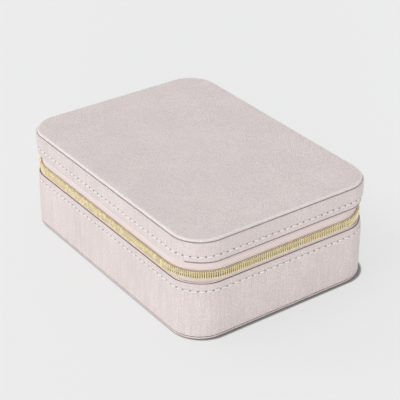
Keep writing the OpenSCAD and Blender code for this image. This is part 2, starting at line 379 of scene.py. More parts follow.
def rounded_section(inset_out, inset_in, z_low, z_high, radii, face_steps):
    """A closed section through a wall, with an arc at each corner and steps up its outer face.

    radii are those of the outer top, outer bottom, inner bottom and inner top corners."""
    top, bottom, in_bottom, in_top = radii
    face = np.linspace(z_high - top, z_low + bottom, face_steps)[1:-1]
    parts = [
        arc((inset_out + top, z_high - top), top, 1, 2, 5),
        np.stack([np.full_like(face, inset_out), face], -1),
        arc((inset_out + bottom, z_low + bottom), bottom, 2, 3, 5),
        arc((inset_in - in_bottom, z_low + in_bottom), in_bottom, 3, 4, 4),
        arc((inset_in - in_top, z_high - in_top), in_top, 0, 1, 4),
    ]
    return np.concatenate(parts)


def dress(piece, material, body, node=None):
    """Gives a piece its material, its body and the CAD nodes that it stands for."""
    piece.data.materials.append(material)
    if body:
        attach(piece, body)
    if node:
        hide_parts(*([node] if isinstance(node, str) else node))
    return piece


# Materials ------------------------------------------------------------------------------------------

def rgba(value, factor=1.0):
    """A colour times a factor, with no part above 1, and an alpha of 1."""
    return (*[min(1.0, c * factor) for c in value], 1.0)


class Finish:
    """A material with one Principled shader, and short ways to add nodes to it.

    The values go to the shader's own sockets."""

    def __init__(self, name, **values):
        self.material = bpy.data.materials.new(name)
        self.material.use_nodes = True
        self.shader = self.material.node_tree.nodes["Principled BSDF"]
        for key, value in values.items():
            self.shader.inputs[key.replace("_", " ")].default_value = value

    def add(self, kind, inputs=None, **settings):
        """A new node. Each input takes a number or another node's output."""
        node = self.material.node_tree.nodes.new(kind)
        for key, value in settings.items():
            setattr(node, key, value)
        for key, value in (inputs or {}).items():
            if isinstance(value, bpy.types.NodeSocket):
                self.material.node_tree.links.new(value, node.inputs[key])
            else:
                node.inputs[key].default_value = value
        return node

    def drive(self, socket, value):
        """Links a node's output to one of the shader's sockets."""
        self.material.node_tree.links.new(value, self.shader.inputs[socket])

    def on_piece(self):
        """The point in Object coordinates."""
        return self.add("ShaderNodeTexCoord").outputs["Object"]

    def on_cloth(self):
        """The point on the piece's own map, in metres along and across it."""
        return self.add("ShaderNodeUVMap", uv_map="cloth").outputs[0]

    def noise(self, place, scale, detail=2.0):
        """Soft noise, mostly between 0.3 and 0.7."""
        inputs = {"Vector": place, "Scale": scale, "Detail": detail}
        return self.add("ShaderNodeTexNoise", inputs).outputs["Fac"]

    def wave(self, place, scale, direction, distortion=0.0):
        """Bands across a direction, from 0 to 1."""
        inputs = {"Vector": place, "Scale": scale, "Distortion": distortion}
        return self.add("ShaderNodeTexWave", inputs, bands_direction=direction).outputs["Fac"]

    def spread(self, value, low, high, out_low=0.0, out_high=1.0):
        """value from low to high, carried over to out_low to out_high."""
        ends = {"Value": value, "From Min": low, "From Max": high, "To Min": out_low, "To Max": out_high}
        return self.add("ShaderNodeMapRange", ends).outputs[0]

    def maths(self, operation, first, second):
        """The sum or product of two values."""
        return self.add("ShaderNodeMath", {0: first, 1: second}, operation=operation).outputs[0]

    def blend(self, factor, first, second):
        """A colour that goes from first to second as factor goes from 0 to 1."""
        return self.add("ShaderNodeMix", {0: factor, 6: first, 7: second}, data_type="RGBA").outputs[2]

    def mottled(self, noise, tint, dark, light):
        """A tint between two shares of itself, by noise."""
        return self.blend(self.spread(noise, 0.3, 0.7), rgba(tint, dark), rgba(tint, light))

    def bump(self, height, strength, distance, under=None):
        """A relief by height, on top of the relief under it."""
        inputs = {"Height": height, "Strength": strength, "Distance": distance}
        return self.add("ShaderNodeBump", inputs | ({"Normal": under} if under else {})).outputs[0]


def made_once(own_name):
    """Marks a function that makes a material, so that it makes each one once and finds it after that.

    Names end in _finish, because the frame's own plain materials are named after the slots."""
    def mark(make):
        @functools.wraps(make)
        def find(name=own_name, *values):
            full_name = f"{name}_finish"
            return bpy.data.materials.get(full_name) or make(full_name, *values)
        return find
    return mark


@made_once("leathercloth")
def leathercloth(name, highlight_lift=1.0, gloss=0.06):
    """Pale pink leathercloth: pebble grain with fine pores, a faint upright brushing, and a pearly coat.

    The crevices between the pebbles are darkened as painted shade. On the panels' rounded edges a painted
    highlight makes its colour lighter by the lift factor, and its gloss is more."""
    # Painted highlight: the tint is multiplied by the lift factor, which is above 1 on the panels' rounded
    # edges.
    tint = [highlight_lift * c for c in colours().leather]
    look = Finish(name, Roughness=0.44, Metallic=0.12, Specular_IOR_Level=0.5, Coat_Weight=gloss,
                  Coat_Roughness=0.3)
    place = look.on_piece()
    upright = look.add("ShaderNodeMapping", {"Vector": place, "Scale": (1, 1, 0.07)}).outputs[0]
    pebble = look.add("ShaderNodeTexVoronoi", {"Vector": place, "Scale": 850.0, "Randomness": 0.9},
                      feature="DISTANCE_TO_EDGE").outputs["Distance"]
    pores = look.noise(place, 2600.0, 3.0)
    brushing = look.noise(upright, 700.0)
    clouds = look.noise(place, 45.0, 4.0)
    tone = look.maths("ADD", look.spread(clouds, 0.1, 0.9), look.spread(brushing, 0.3, 0.7))
    face = look.blend(look.spread(tone, 0.4, 1.6), rgba(tint, 0.90), rgba(tint, 1.08))
    # Painted shade: the crevices between the pebbles are darkened to 0.78 of the tint.
    look.drive("Base Color", look.blend(look.spread(pebble, 0.0, 0.14), rgba(tint, 0.78), face))
    look.drive("Roughness", look.spread(brushing, 0.25, 0.75, 0.40, 0.52))
    grain = look.bump(look.spread(pebble, 0.0, 0.22), 0.9, 0.22 * MM)
    fine = look.bump(pores, 0.35, 0.14 * MM, grain)
    look.drive("Normal", look.bump(brushing, 0.8, 0.26 * MM, fine))
    return look.material


@made_once("cut_edge")
def cut_edge(name, darkness=1.0):
    """The cut edge of leathercloth, inked in a dark mauve that soaks in unevenly, and darkened further as
    painted shade of the gap beside it. The same tones paint shade into the panels' seams and a shadow line
    under the lid's lower edge. A smaller second argument gives a paler tone.
    """
    look = Finish(name, Roughness=0.7, Specular_IOR_Level=0.3)
    # Partly painted shade: these dark tones stand for the shade in the gaps at the edges as well as for the
    # ink.
    dark, light = (0.12, 0.062, 0.055), (0.24, 0.145, 0.135)
    dark, light = ([c ** darkness for c in tone] for tone in (dark, light))
    soaked = look.noise(look.on_piece(), 700.0, 3.0)
    look.drive("Base Color", look.blend(look.spread(soaked, 0.3, 0.7), rgba(dark), rgba(light)))
    return look.material


@made_once("velvet")
def velvet(name):
    """Short-pile velvet: a soft rim of sheen, fine pile, and patches where the nap lies another way."""
    tint = colours().velvet
    look = Finish(name, Roughness=0.95, Specular_IOR_Level=0.2, Sheen_Weight=0.55, Sheen_Roughness=0.35,
                  Sheen_Tint=(1.0, 0.93, 0.92, 1.0))
    place = look.on_piece()
    lay = look.add("ShaderNodeMapping", {"Vector": place, "Scale": (0.5, 1.3, 1.0), "Rotation": (0, 0, 0.5)})
    pile = look.noise(place, 4200.0)
    nap = look.noise(lay.outputs[0], 60.0, 5.0)
    tone = look.maths("ADD", look.spread(nap, 0.35, 0.65), look.spread(pile, 0.3, 0.7))
    look.drive("Base Color", look.blend(look.spread(tone, 0.2, 1.8), rgba(tint, 0.80), rgba(tint, 1.12)))
    look.drive("Normal", look.bump(pile, 0.5, 0.2 * MM))
    return look.material


@made_once("zip_tape")
def woven_tape(name):
    """Zip tape in a fine twill: threads along and across it, with a diagonal rib."""
    tint = colours().tape
    look = Finish(name, Roughness=0.8, Specular_IOR_Level=0.3, Sheen_Weight=0.2)
    place = look.on_cloth()
    thread = look.maths("MULTIPLY", look.wave(place, 420.0, "Y"), look.wave(place, 500.0, "X"))
    height = look.maths("ADD", thread, look.wave(place, 330.0, "DIAGONAL", 0.6))
    look.drive("Base Color", look.blend(look.spread(height, 0.1, 1.5), rgba(tint, 0.82), rgba(tint, 1.08)))
    look.drive("Normal", look.bump(height, 0.6, 0.15 * MM))
    return look.material


@made_once("gold_coil")
def gold_coil(name):
    """Metallised coil: bright gold with small changes of tone where it is worn."""
    look = Finish(name, Metallic=0.25, Roughness=0.22, Specular_IOR_Level=0.6)
    worn = look.noise(look.on_piece(), 240.0, 3.0)
    look.drive("Base Color", look.mottled(worn, colours().gold, 0.90, 1.06))
    look.drive("Roughness", look.spread(worn, 0.3, 0.7, 0.20, 0.32))
    look.drive("Normal", look.bump(worn, 0.15, 0.1 * MM))
    return look.material


@made_once("brass")
def brass(name):
    """Polished brass with faint scratches and duller patches from handling."""
    look = Finish(name, Metallic=1.0, Roughness=0.22)
    place = look.on_piece()
    drawn = look.add("ShaderNodeMapping", {"Vector": place, "Scale": (1, 1, 0.05), "Rotation": (0.4, 0.2, 0)})
    scratch = look.noise(drawn.outputs[0], 3000.0)
    patch = look.noise(place, 250.0, 3.0)
    look.drive("Base Color", look.mottled(patch, colours().brass, 0.92, 1.06))
    look.drive("Roughness", look.spread(patch, 0.3, 0.7, 0.16, 0.30))
    look.drive("Normal", look.bump(scratch, 0.06, 0.1 * MM))
    return look.material


@made_once("thread")
def sewing_thread(name):
    """Bonded thread: two plies that show as slanting bands along it."""
    tint = colours().thread
    look = Finish(name, Roughness=0.55, Sheen_Weight=0.15)
    plies = look.wave(look.on_cloth(), 550.0, "DIAGONAL")
    look.drive("Base Color", look.blend(plies, rgba(tint, 0.86), rgba(tint, 1.06)))
    look.drive("Normal", look.bump(plies, 0.5, 0.1 * MM))
    return look.material


@made_once("needle_hole")
def needle_shade(name):
    """Painted shade inside a needle hole: near-black, with the cut edge of the cloth in it."""
    look = Finish(name, Roughness=0.9, Specular_IOR_Level=0.1)
    torn = look.noise(look.on_piece(), 3000.0)
    look.drive("Base Color", look.blend(torn, (0.055, 0.036, 0.034, 1), (0.16, 0.11, 0.105, 1)))
    return look.material


@made_once("filler_cord")
def cord_finish(name):
    """Filler cord: gold yarn painted dark, partly as painted shade in the gaps between the coil's turns; its
    tone varies by noise.
    """
    look = Finish(name, Roughness=0.7, Specular_IOR_Level=0.3)
    strands = look.noise(look.on_piece(), 2000.0)
    look.drive("Base Color", look.blend(strands, (0.13, 0.085, 0.035, 1), (0.32, 0.23, 0.11, 1)))
    return look.material


@made_once("grey_board")
def grey_board(name):
    """Grey board: pressed paper pulp with flecks."""
    look = Finish(name, Roughness=0.9, Specular_IOR_Level=0.2)
    pulp = look.noise(look.on_piece(), 1200.0, 6.0)
    look.drive("Base Color", look.mottled(pulp, colours().board, 0.7, 1.2))
    look.drive("Normal", look.bump(pulp, 0.4, 0.2 * MM))
    return look.material


# Leathercloth covers --------------------------------------------------------------------------------

def edge_draw(distance, height, body):
    """How far a cover draws in at the corners: most at its free edge, and nothing 9 mm from it."""
    free = BASE_HIGH[2] if body == "base" else LID_LOW[2]
    return sizes().edge_tuck * corner_swell(distance) * (1 - smooth(0, 9 * MM, np.abs(height - free)))


def stitched_section(low, high, stitch_z):
    """A wall cover's section, with small steps along its row of stitches. Its outer face is an inset of 0."""
    out_r, in_r = 0.6 * MM, 0.2 * MM
    section = rounded_section(0, sizes().cover_t, low[2], high[2], (out_r, out_r, in_r, in_r), 22)
    close = stitch_z + np.linspace(2.6, -2.6, 17) * MM
    inner_start = np.flatnonzero(section[:, 0] == 0)[-1] + 1
    outer, inner = section[:inner_start], section[inner_start:]
    above = outer[outer[:, 1] > stitch_z + 2.8 * MM]
    below = outer[outer[:, 1] < stitch_z - 2.8 * MM]
    return np.concatenate([above, np.stack([0 * close, close], -1), below, inner])


def cover_finishes(points, section, low, high, body):
    """The finish of each face of a cover: 0 outside, 1 on its inked edges, which are darkened partly as
    painted shade, 2 on a painted shadow line along the lid's lower edge.

    A face is on an edge where it lies further in than the outside reaches, which is less beside the zip. The
    painted shadow line covers the lid's lowest 1.3 mm beside the edge itself, except along the front."""
    inset, height = section.T
    zip_side, start = (high[2], 0.3 * MM) if body == "base" else (low[2], 0.05 * MM)
    reach = np.where(np.abs(height - zip_side) < 1 * MM, start, 0.75 * MM)
    # Painted shade, partly ink: the faces that lie further in than the outside reaches.
    ink_and_shade_faces = (inset > reach) & (np.roll(inset, -1) > reach)
    finish = np.tile(ink_and_shade_faces.astype(np.int32), (len(points), 1))
    # Painted shadow: a dark line along the lid's lower edge, up its outer face, left off along the front.
    if body == "lid":
        lid_shade_top, corner = low[2] + 1.3 * MM, 12 * MM
        lid_shade_faces = (height < lid_shade_top) & (np.roll(height, -1) < lid_shade_top)
        on_front = (points[:, 0, 1] < -HALF_D + corner) & (points[:, 0, 0] < HALF_W - corner)
        finish[np.ix_(~on_front, lid_shade_faces & ~ink_and_shade_faces)] = 2
    return finish


def wall_cover(name, low, high, stitch_z, body):
    """A wall's cover: a rounded section carried round the case.

    The outer face sinks along the stitching as a bell curve of the height, deepest at the needle
    holes and less under each thread. Beside the row it swells as a wider bell curve, most between two
    holes."""
    stitch = bpy.context.scene.case_stitching
    places = stitch_places(stitch.pitch)
    walk = np.linspace(0, rim_length(), 6 * len(places), endpoint=False)[:, None]
    section = stitched_section(low, high, stitch_z)
    inset, height = section[:, 0][None], section[:, 1][None]
    away = (walk - places[None] + rim_length() / 2) % rim_length() - rim_length() / 2
    hole = smooth(0.2, 0.5, np.abs(away).min(1, keepdims=True) / stitch.pitch)
    groove = bell(height - stitch_z, 0.75 * MM) * (0.6 + 0.4 * hole)
    swell = bell(np.abs(height - stitch_z) - 1.5 * MM, 0.8 * MM) * (1 - hole)
    uneven = 0.05 * MM * np.sin(walk * 61 + 1.3) * np.sin((height - low[2]) * 90)
    relief = sizes().groove * groove - 0.10 * MM * swell + uneven * (1 - groove)
    outside = np.clip(1 - inset / (0.3 * MM), 0, 1)
    points = at_rim(walk, inset + outside * relief + edge_draw(walk, height, body), height)
    piece = surface(name, points, wrap=True, ring=True)
    finish = cover_finishes(points, section, low, high, body)
    piece.data.polygons.foreach_set("material_index", finish.ravel())
    return piece


def drawn_in(row, shares):
    """Copies of a closed row, each drawn towards the middle of the case to a share of its width."""
    return row * np.stack([shares, shares, np.ones(len(shares))], -1)[:, None]


def panel_skin(name, low, high, face_up, shoulder):
    """A panel's skin: a tray whose face meets its rim in a quarter circle.

    From the middle the face runs out, dips over the last millimetres as a padded face does, turns
    down the rim, sinks into the seam, and comes back inside at the skin's thickness. The bend is
    painted lighter as a painted highlight, and the seam is painted dark as painted shade."""
    inset = HALF_W - high[0]
    face_z, seam_z, way = (high[2], low[2], 1) if face_up else (low[2], high[2], -1)
    edge, skin = sizes().edge_r, sizes().skin_t
    flat = inset + np.array([16, 12, 9, 7, 5.5, 4.2, 3.2, 2.4]) * MM
    dip = shoulder * (1 - smooth(0, 7 * MM, flat - inset)) ** 2
    face = np.stack([flat, face_z - way * dip], -1)
    bend = [0, face_z] + arc((inset + edge, -shoulder - edge), edge, 1, 2, 9) * [1, way]
    seam = [inset, seam_z] + np.array([[0, 0.32], [0.20, 0.17], [0.55, 0.03]]) * MM * [1, way]
    back = [[inset + skin, seam_z + way * 0.02 * MM], [inset + skin, face_z - way * (skin + shoulder)],
            [flat[0], face_z - way * skin]]
    section = np.concatenate([face, bend, seam, back])
    walk = stations(24, 24)
    rows = at_rim(walk[None], section[:, 0][:, None], section[:, 1][:, None])
    shares = np.array([0.25, 0.5, 0.75])
    grid = np.concatenate([drawn_in(rows[:1], shares), rows, drawn_in(rows[-1:], shares[::-1])])
    piece = solid(name, grid)
    bend_at = len(shares) + len(face)
    seam_at = bend_at + len(bend)
    strip = np.zeros(len(grid) - 1, np.int32)
    # Painted highlight on the bend's faces, and painted shade on the seam's faces.
    strip[bend_at:seam_at - 3] = 1
    strip[seam_at:seam_at + len(seam)] = 2
    finish = np.concatenate([np.repeat(strip, len(walk)), np.zeros(2 * len(walk), np.int32)])
    piece.data.polygons.foreach_set("material_index", finish)
    return piece


class CASE_OT_wall_covers(Operator):
    """Make the leathercloth covers of both walls"""

    bl_idname = "case.wall_covers"
    bl_label = "Wall covers"

    def execute(self, context):
        for name, low, high, node, body in (
            ("base_cover", BASE_LOW, BASE_HIGH, "base_wall_cover", "base"),
            ("lid_cover", LID_LOW, LID_HIGH, "lid_wall_cover", "lid"),
        ):
            row = stitch_height(body)
            cover = wall_cover(name, low, high, row, body)
            dress(cover, leathercloth(), body, node)
            # The edges' material darkens them partly as painted shade.
            cover.data.materials.append(cut_edge())
            # The third material paints a shadow line under the lid's lower edge.
            cover.data.materials.append(cut_edge("lid_edge_painted_shade", 0.6))
        return {"FINISHED"}


class CASE_OT_panels(Operator):
    """Make the skins of the top and bottom panels"""

    bl_idname = "case.panels"
    bl_label = "Panels"

    def execute(self, context):
        top = panel_skin("top_panel", TOP_LOW, TOP_HIGH, True, 0.18 * MM)
        dress(top, leathercloth(), "lid", "top_panel_cover")
        bottom = panel_skin("bottom_panel", BOTTOM_LOW, BOTTOM_HIGH, False, 0.0)
        dress(bottom, leathercloth(), "base", "bottom_panel_cover")
        # The bends get the lighter leathercloth as a painted highlight, and the seams a dark tone as painted
        # shade.
        for panel, seam in ((top, cut_edge("seam_painted_shade", 0.6)), (bottom, cut_edge())):
            panel.data.materials.append(leathercloth("leathercloth_painted_highlight", 1.2, 0.9))
            panel.data.materials.append(seam)
        return {"FINISHED"}


# Stitching ------------------------------------------------------------------------------------------

def stitch_height(body):
    """Height of a wall's row of stitches."""
    low, high = low_high(f"{body}_stitching")
    return (low[2] + high[2]) / 2


def stitches(name, height, body):
    """A row of stitches: short tubes along the wall that rise out of one hole and dip into the next.

    Along a stitch t goes from -1 to 1. It stands out as the square root of one less t squared, and
    its two ends go down into the cover."""
    stitch = bpy.context.scene.case_stitching
    t = np.linspace(-1, 1, 9)
    places = stitch_places(stitch.pitch)
    walk = places[:, None] + t * stitch.show / 2
    rise = np.sqrt(np.clip(1 - t ** 2, 0, 1)) * 1.6 * stitch.thread_r - 0.7 * stitch.thread_r
    lean = height + t * stitch.show / 2 * math.tan(stitch.slant)
    inset = sizes().groove * 0.6 - rise + edge_draw(walk, height, body)
    path = at_rim(walk, inset, lean[None])
    radius = stitch.thread_r * (0.62 + 0.38 * np.sqrt(np.clip(1 - t ** 4, 0, 1)))
    uv = uv_grid(t * stitch.show / 2, np.linspace(0, TURN * stitch.thread_r, 8))
    return tube(name, path, (0, 0, 1), radius[None], 7, uv)


def needle_holes(name, height, body):
    """Needle holes between the stitches: shallow cups, one step out of round, with painted shade inside."""
    stitch = bpy.context.scene.case_stitching
    places = stitch_places(stitch.pitch)
    middles = (places + np.roll(places, -1)) / 2
    middles[-1] = (places[-1] + places[0] + rim_length()) / 2
    angle = np.arange(9) * TURN / 9
    ring = np.array([1.0, 0.72, 0.4])[:, None]
    depth = np.array([0.0, 0.07, 0.11])[:, None] * MM
    walk = middles[:, None, None] + ring * 0.66 * MM * np.cos(angle)
    z = height + ring * 0.50 * MM * np.sin(angle)
    drawn = edge_draw(walk, height, body) + sizes().groove
    points = at_rim(walk, drawn - 0.14 * MM + depth, z)
    back = at_rim(walk[:, :1], drawn[:, :1] + 0.3 * MM, z[:1])
    return solid(name, np.concatenate([back, points], 1))


class CASE_OT_stitching(Operator):
    """Make the rows of stitches and their needle holes"""

    bl_idname = "case.stitching"
    bl_label = "Stitching"

    def execute(self, context):
        for body in ("base", "lid"):
            row = stitch_height(body)
            thread = stitches(f"{body}_stitches", row, body)
            dress(thread, sewing_thread(), body, f"{body}_stitching")
            holes = needle_holes(f"{body}_needle_holes", row, body)
            dress(holes, needle_shade(), body, None)
        return {"FINISHED"}


# Zip ------------------------------------------------------------------------------------------------

def zip_ends():
    """Distances walked at the two ends of the zip tape, on the back to either side of the hinge strip."""
    half = STRIP_HIGH[0] + 0.5 * MM
    return half, rim_length() - half


def rounder(distance, extra):
    """Inset of a second outline whose corners have a radius larger by extra.

    Round a corner it is where a ray along the normal meets the larger circle. Its centre lies extra
    further in both ways, so the ray's length r solves r squared + 2 extra r (sum of the normal's parts)
    + 2 extra squared = the larger radius squared. Beside a corner the larger circle is still leaving
    the side, by its radius less the root of its radius squared less the distance left squared."""
    knots = rim_knots()
    walked = np.mod(distance, knots[-1])
    turned = np.interp(walked, knots, np.array([0, 0, 1, 1, 2, 2, 3, 3, 4, 4]) * math.pi / 2)
    away = np.abs(walked[..., None] - knots[1:-1]).min(-1)
    on_corner = (turned / (math.pi / 2)) % 1 > 0
    large = sizes().corner_r + extra
    both = np.abs(np.cos(turned)) + np.abs(np.sin(turned))
    ray = -extra * both + np.sqrt(extra ** 2 * (both ** 2 - 2) + large ** 2)
    beside_it = large - np.sqrt(large ** 2 - np.clip(extra - away, 0, extra) ** 2)
    return np.where(on_corner, sizes().corner_r - ray, beside_it)


def zip_draw(distance, height):
    """How far the zip draws inwards between the walls' edges, on its rounder corners."""
    slot = smooth(BASE_HIGH[2] - 1.0 * MM, BASE_HIGH[2] + 2.2 * MM, height)
    slot = slot * (1 - smooth(LID_LOW[2] - 2.2 * MM, LID_LOW[2] + 1.0 * MM, height))
    return slot * (0.1 * MM + rounder(distance, sizes().zip_round))


def zip_tape(name, low, high, coil_edge):
    """Half of the zip tape: a thin closed section carried round the case, from end to end of the zip.

    A raised selvedge runs beside the coil, and the tape dips beside a cover's free edge, both as bell
    curves of the height."""
    start, end = zip_ends()
    walk = np.linspace(start, end, 420)
    up = np.linspace(low[2], high[2], 34)
    selvedge = 0.22 * MM * bell(up - coil_edge, 0.7 * MM)
    beside_covers = (BASE_HIGH[2] + 0.9 * MM, LID_LOW[2] - 0.9 * MM)
    fold = sum(0.6 * MM * bell(up - edge, 0.55 * MM) for edge in beside_covers)
    draw = zip_draw(walk[:, None], up[None]) + fold
    outer = at_rim(walk[:, None], TAPE_INSET + draw - selvedge, up[None])
    inner = at_rim(walk[:, None], TAPE_INSET + draw + TAPE_T * 0.8, up[None])
    section = np.concatenate([outer, inner[:, ::-1]], 1)
    across = np.concatenate([up, up[::-1] + 0.03, [up[0]]])
    return solid(name, section, uv_grid(walk, across))


def turns_between(ends):
    """How many whole turns of a coil lie between its two ends."""
    return int((ends[1] - ends[0]) / bpy.context.scene.case_zip.pitch)


def coil_turns(name, low, high, upper, ends):
    """One coil: a wire wound in flattened turns round the zip's line.

    Over one turn the wire crosses the coil's width as a cosine and its thickness as a sine, both
    flattened by a power below one, while it moves on by the pitch. The crossing legs lean forwards."""
    spec = bpy.context.scene.case_zip
    per_turn = 10
    t = np.arange(turns_between(ends) * per_turn + 1) / per_turn
    phase, ahead = (t * TURN, 0.5 * spec.pitch) if upper else (t * TURN + math.pi, 0.0)
    far, way = (high[2], 1) if upper else (low[2], -1)
    head = ZIP_Z - way * spec.mesh / 2
    back = far - way * spec.wire_r
    side = flattened(np.cos(phase), 0.75)
    z = (head + back) / 2 + side * (back - head) / 2
    walk = ends[0] + t * spec.pitch + ahead + 0.10 * spec.pitch * side
    middle = TAPE_INSET - COIL_T / 2 - 0.1 * MM
    out = flattened(np.sin(phase), 0.7) * (COIL_T / 2 - spec.wire_r)
    inset = middle - out + zip_draw(walk, z)
    path = at_rim(walk, inset, z)
    along = at_rim(walk + 0.1 * MM, inset, z) - path
    return solid(name, around(path, along, spec.wire_r, spec.sides))


def coil_thread(name, height, ends, lift):
    """The sewing that holds a coil to its tape: a thin thread that ripples over every turn."""
    t = np.arange(turns_between(ends) * 4 + 1) / 4
    walk = ends[0] + t * bpy.context.scene.case_zip.pitch
    ripple = 0.14 * MM * np.cos(t * TURN)
    inset = TAPE_INSET - COIL_T + lift - ripple + zip_draw(walk, height)
    path = at_rim(walk, inset, height + 0.12 * MM * np.sin(t * TURN / 2))
    uv = uv_grid(walk, np.linspace(0, 1.2 * MM, 6))
    return tube(name, path, (0, 0, 1), 0.17 * MM, 5, uv)


def filler_cord(name, low, high, ends):
    """The cord that a coil is wound round: a tube along the coil's middle, twisted as a small ripple."""
    walk = np.linspace(ends[0], ends[1], 900)
    middle_z = (low[2] + high[2]) / 2 + 0.05 * MM * np.sin(walk * 2600)
    path = at_rim(walk, TAPE_INSET - COIL_T / 2 + zip_draw(walk, middle_z), middle_z)
    return tube(name, path, (0, 0, 1), 0.55 * MM, 8)


class CASE_OT_zip_tapes(Operator):
    """Make the two halves of the zip tape"""

    bl_idname = "case.zip_tapes"
    bl_label = "Zip tapes"

    def execute(self, context):
        for body, low, high, coil_edge in (
            ("base", BASE_TAPE_LOW, BASE_TAPE_HIGH, BASE_COIL_LOW[2]),
            ("lid", LID_TAPE_LOW, LID_TAPE_HIGH, LID_COIL_HIGH[2]),
        ):
            tape = zip_tape(f"{body}_tape", low, high, coil_edge)
            dress(tape, woven_tape(), body, f"{body}_zip_tape")
        return {"FINISHED"}


class CASE_OT_zip_coils(Operator):
    """Make the two coils and the sewing that holds them"""

    bl_idname = "case.zip_coils"
    bl_label = "Zip coils"

    def execute(self, context):
        half = STOPS_HIGH[0] + 0.3 * MM
        ends = (half, rim_length() - half)
        halves = (("base", BASE_COIL_LOW, BASE_COIL_HIGH), ("lid", LID_COIL_LOW, LID_COIL_HIGH))
        for body, low, high in halves:
            coil = coil_turns(f"{body}_coil", low, high, body == "lid", ends)
            dress(coil, gold_coil(), body, f"{body}_zip_coil")
        for body, low, high in halves:
            row = high[2] - 0.95 * MM if body == "lid" else low[2] + 0.95 * MM
            sewing = coil_thread(f"{body}_coil_thread", row, ends, 0.12 * MM)
            dress(sewing, gold_coil(), body, None)
        for body, low, high in halves:
            cord = filler_cord(f"{body}_filler_cord", low, high, ends)
            dress(cord, cord_finish(), body, None)
        return {"FINISHED"}


# Velvet inside --------------------------------------------------------------------------------------

def rounded_box(low, high, radius, turn=5, along=10):
    """A box with rounded edges: its section is a rounded rectangle carried along its longest side.

    Towards each end the section shrinks as a quarter circle does, and its own corners shrink with it."""
    low, high = np.array(low, float), np.array(high, float)
    axis = int(np.argmax(high - low))
    one, two = [(1, 2), (2, 0), (0, 1)][axis]
    phi = np.linspace(0, math.pi / 2, turn)
    start = np.stack([low[axis] + radius * (1 - np.cos(phi)), radius * (1 - np.sin(phi))], -1)
    middle = np.linspace(low[axis] + radius, high[axis] - radius, along)[1:-1]
    end = np.stack([high[axis] - radius * (1 - np.cos(phi[::-1])), radius * (1 - np.sin(phi[::-1]))], -1)
    rows = np.concatenate([start, np.stack([middle, 0 * middle], -1), end])
    theta = (np.arange(4)[:, None] + np.linspace(0, 1, turn)[None]).ravel() * math.pi / 2
    sign_one = np.repeat([1, -1, -1, 1], turn)
    sign_two = np.repeat([1, 1, -1, -1], turn)
    left = (radius - rows[:, 1])[:, None]
    half = (high - low) / 2
    points = np.zeros((len(rows), len(theta), 3))
    points[..., axis] = rows[:, 0][:, None]
    points[..., one] = (low + half)[one] + sign_one * (half[one] - radius) + left * np.cos(theta)
    points[..., two] = (low + half)[two] + sign_two * (half[two] - radius) + left * np.sin(theta)
    return points


def room_depth(x, y, inset):
    """Distance in from the wall of a rounded-rectangle room: its corner radius less the distance from the
    inner rectangle, or the smaller of the two straight distances nearer the middle."""
    radius = sizes().corner_r - inset
    past_x, past_y = np.abs(x) - (HALF_W - inset - radius), np.abs(y) - (HALF_D - inset - radius)
    outside = np.hypot(np.maximum(past_x, 0), np.maximum(past_y, 0))
    return radius - outside - np.minimum(np.maximum(past_x, past_y), 0)


def beside(x, y, low, high):
    """Distance from a box's footprint, 0 under the box."""
    gap_x = np.maximum(np.maximum(low[0] - x, x - high[0]), 0)
    gap_y = np.maximum(np.maximum(low[1] - y, y - high[1]), 0)
    return np.hypot(gap_x, gap_y)


def pad(name, low, high, face_up, pressed, puff):
    """A velvet pad that fills the room's floor or ceiling.

    Each row across is as wide as the room is there. The face sinks by puff as an S curve within
    9 mm of the walls and of whatever presses on it, and it rolls gently in between."""
    radius = sizes().corner_r - (HALF_W - high[0])
    t = np.linspace(-1, 1, 110)
    row_y = high[1] * (0.45 * np.sin(t * math.pi / 2) + 0.55 * t) * 0.9999
    reach = np.clip(np.abs(row_y) - (high[1] - radius), 0, radius)
    half = high[0] - radius + np.sqrt(radius ** 2 - reach ** 2)
    x = half[:, None] * np.linspace(-1, 1, 150)
    y = np.broadcast_to(row_y[:, None], x.shape)
    near = room_depth(x, y, LINING_INSET + PILE)
    for node in pressed:
        near = np.minimum(near, beside(x, y, *low_high(node)))
    rolls = 0.10 * puff * np.sin(x * 95 + 1.2 * np.sin(y * 60)) * np.sin(y * 120 + 0.7)
    sink = puff * (1 - smooth(-1 * MM, 9 * MM, near)) - rolls * smooth(0, 6 * MM, near)
    face_z, back_z, way = (high[2], low[2], 1) if face_up else (low[2], high[2], -1)
    face = np.stack([x, y, face_z - way * (sink + 0.1 * MM)], -1)
    back = np.stack([x[:, [-1, 0]], y[:, :2], np.full((len(y), 2), back_z)], -1)
    return solid(name, np.concatenate([face, back], 1))


def wall_lining(name, low, high, lip_up):
    """A velvet lining that runs up the wall's inner face and rolls over the board's edge to the zip tape."""
    board_in = HALF_W - high[0]
    face, lip = board_in + PILE, 0.62 * MM
    edge, foot, way = (high[2], low[2], 1) if lip_up else (low[2], high[2], -1)
    tape_in = TAPE_INSET + TAPE_T + 0.15 * MM
    bend = arc((face - lip, 0), lip, 0, 1, 7)[::-1]
    down = np.linspace(edge - way * 1.0 * MM, foot, 14)
    section = np.concatenate([
        [[board_in, foot], [board_in, edge], [tape_in, edge]],
        [[tape_in, edge + way * lip * 0.6], [tape_in + 0.30 * MM, edge + way * lip]],
        [0, edge] + bend * [1, way],
        np.stack([np.full_like(down, face), down], -1),
    ])
    walk = stations(60, 16)[:, None]
    ripple = 0.12 * MM * np.sin(walk * 170) * smooth(face - 1 * MM, face, section[:, 0])[None]
    points = at_rim(walk, section[:, 0][None] + ripple, section[:, 1][None])
    return surface(name, points, wrap=True, ring=True)


